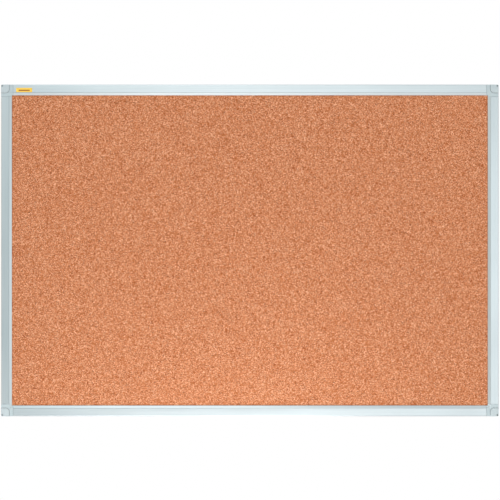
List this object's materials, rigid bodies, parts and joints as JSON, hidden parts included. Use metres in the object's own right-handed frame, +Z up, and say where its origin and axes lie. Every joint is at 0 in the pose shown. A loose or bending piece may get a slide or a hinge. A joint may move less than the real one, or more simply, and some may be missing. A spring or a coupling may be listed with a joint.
{
  "type": "cork bulletin board",
  "caption": "Wall-mounted cork pinning board in a slim aluminium frame, with moulded corners whose press-fit covers hide the wall screws.",
  "frame": {"origin": "middle of the four wall-screw holes, on the plane of the frame's rear", "axes": "+Z up, +X to the right as seen from the front, +Y into the wall, so the cork faces -Y"},
  "size_m": [0.9, 0.0185, 0.6],
  "materials": {
    "anodised_aluminium": "satin",
    "corner_plastic": "satin",
    "cover_plastic": "satin",
    "cork": "matte",
    "softboard": "matte",
    "hardboard": "matte",
    "label_film": "satin",
    "zinc_steel": "satin"
  },
  "bodies": {
    "board": {"frame_profile_top": "anodised_aluminium", "frame_profile_bottom": "anodised_aluminium", "frame_profile_left": "anodised_aluminium", "frame_profile_right": "anodised_aluminium", "corner_body_top_left": "corner_plastic", "corner_body_top_right": "corner_plastic", "corner_body_bottom_left": "corner_plastic", "corner_body_bottom_right": "corner_plastic", "cork_sheet": "cork", "core_board": "softboard", "backing_board": "hardboard", "label": "label_film", "leg_screws": "zinc_steel"},
    "cover_top_left": {"corner_cap_top_left": "cover_plastic"},
    "cover_top_right": {"corner_cap_top_right": "cover_plastic"},
    "cover_bottom_left": {"corner_cap_bottom_left": "cover_plastic"},
    "cover_bottom_right": {"corner_cap_bottom_right": "cover_plastic"}
  },
  "joints": [
    {"name": "pull_cover_top_left", "type": "slide", "parent": "board", "child": "cover_top_left", "axis": [0, -1, 0], "range_m": [0, 0.025]},
    {"name": "pull_cover_top_right", "type": "slide", "parent": "board", "child": "cover_top_right", "axis": [0, -1, 0], "range_m": [0, 0.025]},
    {"name": "pull_cover_bottom_left", "type": "slide", "parent": "board", "child": "cover_bottom_left", "axis": [0, -1, 0], "range_m": [0, 0.025]},
    {"name": "pull_cover_bottom_right", "type": "slide", "parent": "board", "child": "cover_bottom_right", "axis": [0, -1, 0], "range_m": [0, 0.025]}
  ]
}
